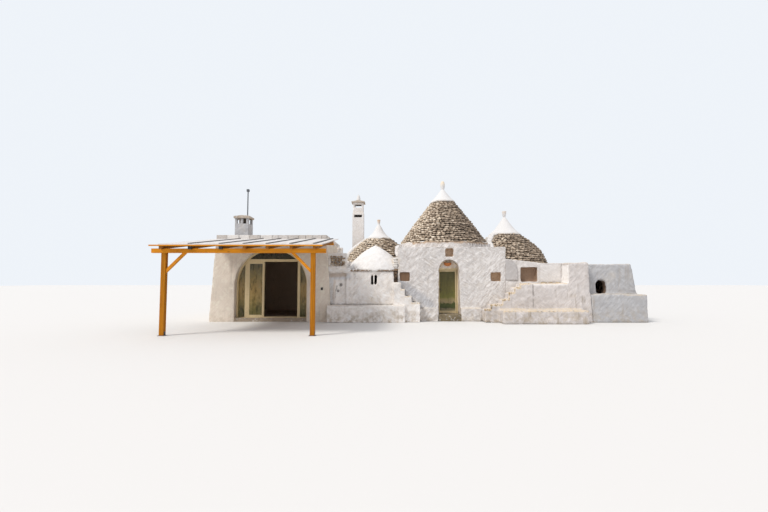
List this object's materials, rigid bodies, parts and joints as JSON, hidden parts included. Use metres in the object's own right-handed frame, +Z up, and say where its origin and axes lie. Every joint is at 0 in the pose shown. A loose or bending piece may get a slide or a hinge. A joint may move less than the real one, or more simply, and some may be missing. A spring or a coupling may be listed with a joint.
{
  "type": "trullo house",
  "caption": "Whitewashed trullo house: domed stone cones, a flat-roofed hall with an arched glass door, outside stairs and benches, and a timber pergola.",
  "frame": {"origin": "on the underside of the doorway stone, in the plane of the main front wall, below the main door", "axes": "+X to the right along the front, +Y into the house, +Z up"},
  "size_m": [18.4875, 11.305, 6.72],
  "materials": {
    "limewash": "rough white limewash",
    "dry_stone": "rough grey limestone slabs",
    "edge_stone": "rough brown stone",
    "floor_stone": "worn stone",
    "timber": "oiled softwood",
    "joinery": "cream painted timber",
    "shutter_wood": "weathered brown timber",
    "glazing": "clear",
    "terracotta": "matt",
    "mast_steel": "dull",
    "roof_sheet": "white sheet"
  },
  "bodies": {
    "house": {"hall_front_piers": "limewash", "hall_front_arch": "limewash", "hall_side_walls": "limewash", "hall_back_wall": "limewash", "hall_roof": "limewash", "hall_parapet": "dry_stone", "hall_chimney": "limewash", "hall_chimney_slab": "edge_stone", "aerial_mast": "mast_steel", "garden_door_frame": "joinery", "garden_fixed_glass": "glazing", "hall_floor": "floor_stone", "main_floor": "floor_stone", "main_front_piers": "limewash", "main_front_arch": "limewash", "main_side_walls": "limewash", "main_back_wall": "limewash", "window_shutter": "shutter_wood", "door_stone": "floor_stone", "door_frame": "joinery", "wall_lamp": "terracotta", "main_drum": "limewash", "main_cone": "dry_stone", "main_cap": "limewash", "left_room_walls": "limewash", "left_cone": "dry_stone", "left_cap": "limewash", "tall_chimney": "limewash", "tall_chimney_cap": "edge_stone", "link_wall": "limewash", "cell_walls": "limewash", "cell_cornice": "edge_stone", "cell_roof": "limewash", "left_bench": "limewash", "left_stair": "limewash", "wing_front_wall": "limewash", "wing_room_walls": "limewash", "wing_roof": "limewash", "right_cone": "dry_stone", "right_cap": "limewash", "upper_door_panel": "limewash", "wing_terrace": "limewash", "wing_stair": "limewash", "wing_pillar": "limewash", "right_bench": "limewash", "end_room_walls": "limewash", "end_room_roof": "limewash", "end_ledge": "limewash", "pergola_posts": "timber", "pergola_braces": "timber", "pergola_beam": "timber", "pergola_rafters": "timber", "pergola_boards": "timber", "pergola_roof": "roof_sheet"},
    "front_door": {"door_leaf": "joinery", "door_glass": "glazing"},
    "garden_leaf_middle": {"garden_leaf_middle": "joinery", "garden_glass_middle": "glazing"},
    "garden_leaf_inner": {"garden_leaf_inner": "joinery", "garden_glass_inner": "glazing"}
  },
  "joints": [
    {"name": "front_door_swing", "type": "hinge", "parent": "house", "child": "front_door", "pos_m": [0.392, 0.521, 0.3], "axis": [0, 0, -1], "range_deg": [-6, 78]},
    {"name": "garden_middle_slide", "type": "slide", "parent": "house", "child": "garden_leaf_middle", "axis": [1, 0, 0], "range_m": [0, 0.7216]},
    {"name": "garden_inner_slide", "type": "slide", "parent": "house", "child": "garden_leaf_inner", "axis": [1, 0, 0], "range_m": [0, 1.4433]}
  ]
}
